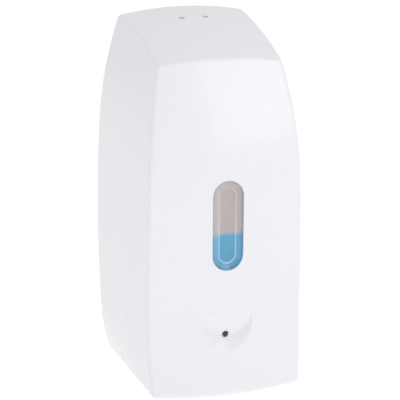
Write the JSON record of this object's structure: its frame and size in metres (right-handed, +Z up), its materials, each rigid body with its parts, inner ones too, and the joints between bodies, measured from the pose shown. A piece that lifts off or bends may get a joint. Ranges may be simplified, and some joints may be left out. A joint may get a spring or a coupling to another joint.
{
  "type": "wall mounted soap dispenser",
  "caption": "Touch-free wall soap dispenser: tapered white cover with a capsule window, scooped indicator and key-released hinge, over a refillable tank, gear pump and battery housing.",
  "frame": {"origin": "centre of the four wall screws, on the wall face of the back plate", "axes": "+X to the right seen from the front, +Y into the wall, +Z up"},
  "size_m": [0.1412, 0.1261, 0.289],
  "materials": {
    "cover_white": "satin gloss ABS",
    "frame_white": "matt moulded ABS",
    "door_white": "fine spark texture",
    "clear_window": "clear polished",
    "tank_clear": "translucent polypropylene",
    "lid_grey": "matt",
    "latch_white": "smooth acetal",
    "soap_blue": "clear tinted liquid",
    "seal_rubber": "matt",
    "valve_silicone": "translucent",
    "steel": "bright",
    "spring_steel": "drawn wire",
    "screw_zinc": "zinc plated",
    "pump_grey": "glass filled nylon",
    "gear_acetal": "natural acetal",
    "motor_steel": "plated can",
    "motor_black": "moulded",
    "nozzle_white": "smooth",
    "smoked_window": "infra-red tinted, polished",
    "board_green": "solder mask",
    "board_black": "moulded",
    "led_red": "tinted epoxy",
    "cell_wrap": "plain sleeve",
    "button_grey": "matt"
  },
  "bodies": {
    "root": {"back_plate": "frame_white", "hinge_pins": "steel", "base_housing": "frame_white", "tank_deck": "frame_white", "latch_guide": "frame_white", "latch_springs": "spring_steel", "guide_screws": "screw_zinc", "housing_screws": "screw_zinc", "pump_body": "pump_grey", "pump_cover": "pump_grey", "pump_screws": "screw_zinc", "idler_pin": "steel", "motor_can": "motor_steel", "motor_cap": "motor_black", "inlet_hose": "valve_silicone", "outlet_hose": "valve_silicone", "nozzle": "nozzle_white", "drip_valve": "valve_silicone", "sensor_window": "smoked_window", "sensor_board": "board_green", "sensor_eyes": "board_black", "battery_cells": "cell_wrap", "battery_contacts": "steel", "battery_springs": "spring_steel", "main_board": "board_green", "board_parts": "board_black", "board_screws": "screw_zinc", "control_board": "board_green", "indicator_led": "led_red", "button_switch": "board_black", "power_switch": "board_black"},
    "cover": {"front_cover": "cover_white", "window_lens": "clear_window", "indicator_lens": "clear_window"},
    "latch": {"cover_latch": "latch_white"},
    "tank": {"tank_body": "tank_clear", "tank_top": "tank_clear", "soap": "soap_blue", "spout_seal": "seal_rubber", "lid_pin": "steel"},
    "lid": {"tank_lid": "lid_grey", "lid_seal": "seal_rubber"},
    "door": {"battery_door": "door_white"},
    "button": {"dose_button": "button_grey"},
    "knob": {"power_knob": "button_grey"},
    "pump_drive": {"motor_shaft": "steel", "drive_gear": "gear_acetal"},
    "pump_idler": {"idler_gear": "gear_acetal"}
  },
  "joints": [
    {"name": "cover_hinge", "type": "hinge", "parent": "root", "child": "cover", "pos_m": [0, -0.009, -0.146], "axis": [1, 0, 0], "range_deg": [0, 80]},
    {"name": "latch_press", "type": "slide", "parent": "root", "child": "latch", "axis": [0, 0, -1], "range_m": [0, 0.004], "stiffness_N_per_m": 800, "springref_m": -0.004, "deforming": ["latch_springs"]},
    {"name": "tank_lift", "type": "slide", "parent": "root", "child": "tank", "axis": [0, 0, 1], "range_m": [0, 0.008]},
    {"name": "lid_hinge", "type": "hinge", "parent": "tank", "child": "lid", "pos_m": [0, -0.045, 0.071], "axis": [-1, 0, 0], "range_deg": [0, 90]},
    {"name": "door_hinge", "type": "hinge", "parent": "root", "child": "door", "pos_m": [0, -0.0506, -0.1518], "axis": [-1, 0, 0], "range_deg": [0, 90]},
    {"name": "button_press", "type": "slide", "parent": "root", "child": "button", "axis": [0, 1, 0], "range_m": [0, 0.0012], "stiffness_N_per_m": 400, "springref_m": -0.001},
    {"name": "power_slide", "type": "slide", "parent": "root", "child": "knob", "axis": [1, 0, 0], "range_m": [0, 0.003]},
    {"name": "pump_drive_spin", "type": "hinge", "parent": "root", "child": "pump_drive", "pos_m": [0, -0.0772, -0.117], "axis": [1, 0, 0], "continuous": true},
    {"name": "pump_idler_spin", "type": "hinge", "parent": "root", "child": "pump_idler", "pos_m": [0, -0.0868, -0.117], "axis": [1, 0, 0], "continuous": true}
  ],
  "couplings": [
    {"joint": "pump_idler_spin", "follows": "pump_drive_spin", "ratio": -1}
  ]
}
